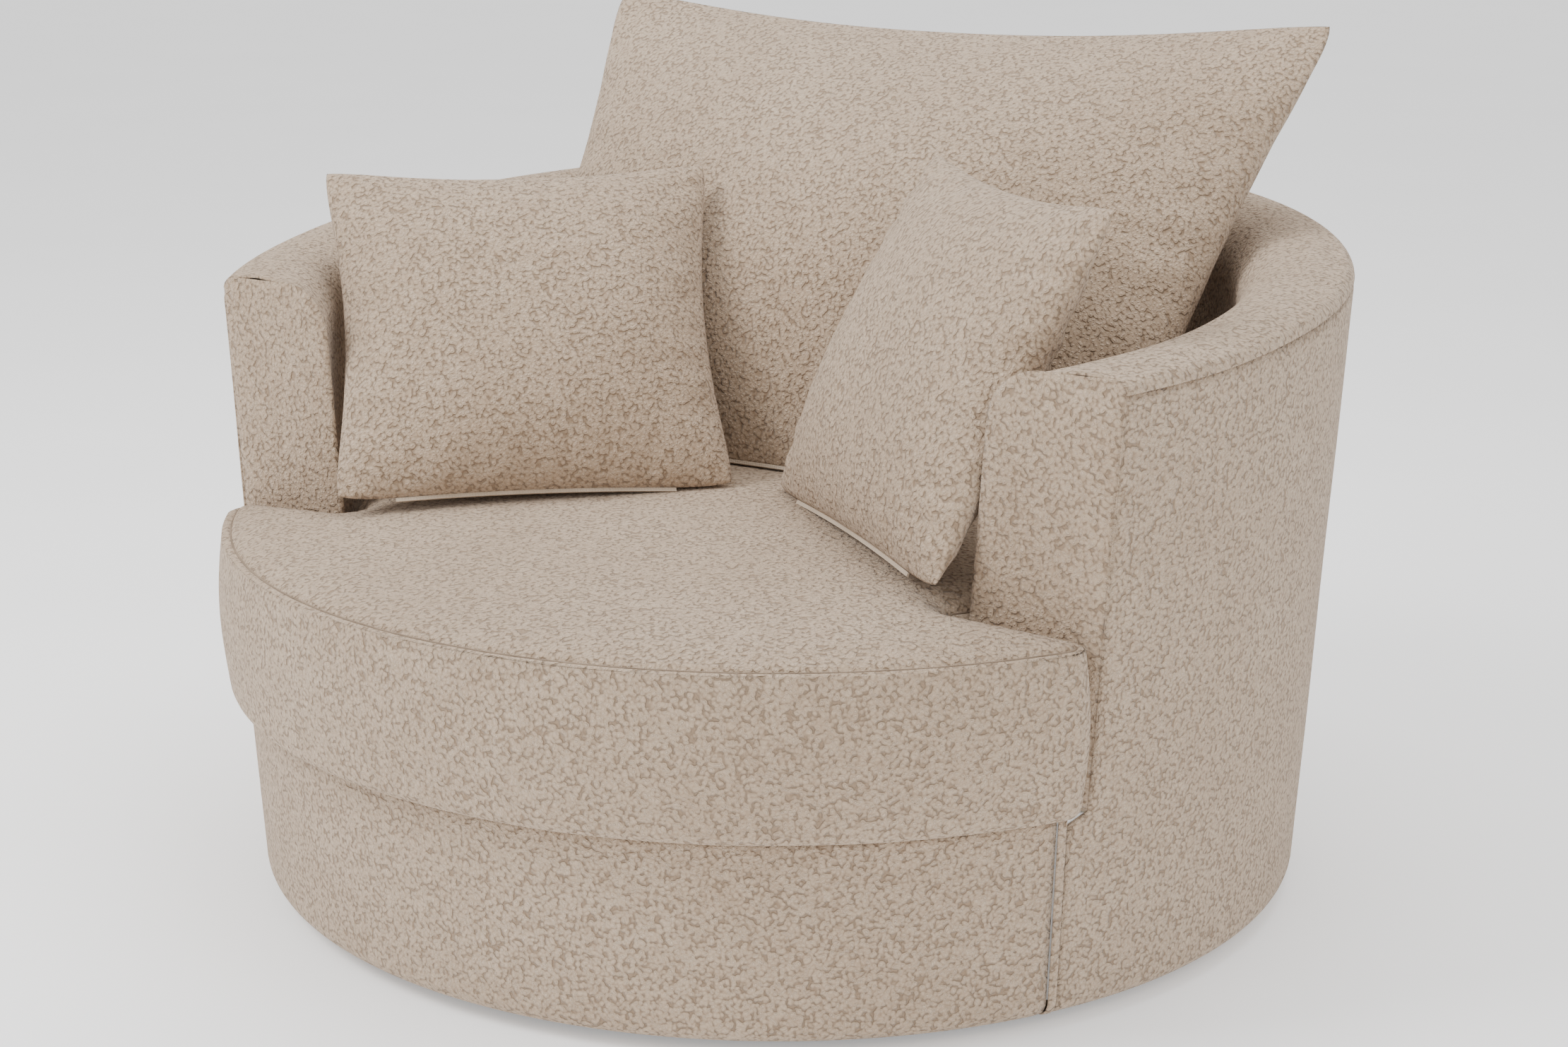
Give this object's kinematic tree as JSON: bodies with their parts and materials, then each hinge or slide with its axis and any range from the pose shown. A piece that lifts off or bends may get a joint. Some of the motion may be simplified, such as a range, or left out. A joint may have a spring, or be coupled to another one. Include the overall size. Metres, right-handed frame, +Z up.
{
  "type": "swivel cuddle chair",
  "caption": "Round drum-shaped upholstered swivel lounge chair with a low sloping wrap-around rail, deep boxed seat cushion, wide back cushion and loose scatter cushions.",
  "frame": {"origin": "on the floor under the turntable's axis, which is the axis of the round drum", "axes": "+Z up, the chair faces -Y, +X towards the right arm as seen by someone in front of it"},
  "size_m": [1.2212, 1.2266, 0.9222],
  "materials": {
    "boucle": "matte",
    "zip_tape": "matte",
    "foam": "matte",
    "wadding": "matte",
    "lining_cloth": "matte",
    "webbing": "matte",
    "plywood": "matte",
    "hardboard": "satin",
    "timber": "matte",
    "zinc_steel": "satin",
    "ball_steel": "polished",
    "cage_plastic": "matte",
    "glide_plastic": "matte"
  },
  "bodies": {
    "floor_base": {"floor_glides": "glide_plastic", "floor_disc": "plywood", "lower_swivel_plate": "zinc_steel", "swivel_pin": "zinc_steel", "swivel_balls": "ball_steel", "ball_cage": "cage_plastic", "lower_plate_screws": "zinc_steel"},
    "chair": {"outer_wall_cover": "boucle", "inner_wall_cover": "boucle", "arm_facing_left": "boucle", "arm_facing_right": "boucle", "front_base_cover": "boucle", "seam_band_left": "boucle", "seam_band_right": "boucle", "seat_cushion": "boucle", "back_cushion": "boucle", "back_cushion_zip": "zip_tape", "rail_foam": "foam", "inner_wall_foam": "foam", "arm_front_pad_left": "foam", "arm_front_pad_right": "foam", "wall_wadding": "wadding", "front_wadding": "wadding", "deck_cloth": "lining_cloth", "dust_cover": "lining_cloth", "seat_straps_lengthwise": "webbing", "seat_straps_crosswise": "webbing", "bottom_ring": "plywood", "deck_ring": "plywood", "top_rail": "plywood", "arm_front_board_left": "plywood", "arm_front_board_right": "plywood", "outer_wall_board": "hardboard", "front_base_board": "hardboard", "inner_wall_board": "hardboard", "bearer_left": "timber", "bearer_right": "timber", "bearer_spacers": "timber", "base_uprights": "timber", "wall_posts": "timber", "upper_swivel_plate": "zinc_steel", "upper_plate_screws": "zinc_steel"},
    "scatter_left": {"scatter_cushion_left": "boucle", "scatter_zip_left": "zip_tape"},
    "scatter_right": {"scatter_cushion_right": "boucle", "scatter_zip_right": "zip_tape"}
  },
  "joints": [
    {"name": "swivel", "type": "hinge", "parent": "floor_base", "child": "chair", "pos_m": [0, 0, 0], "axis": [0, 0, 1], "continuous": true},
    {"name": "scatter_left_lift", "type": "slide", "parent": "chair", "child": "scatter_left", "axis": [0, 0, 1], "range_m": [0, 0.55]},
    {"name": "scatter_right_lift", "type": "slide", "parent": "chair", "child": "scatter_right", "axis": [0, 0, 1], "range_m": [0, 0.55]}
  ]
}
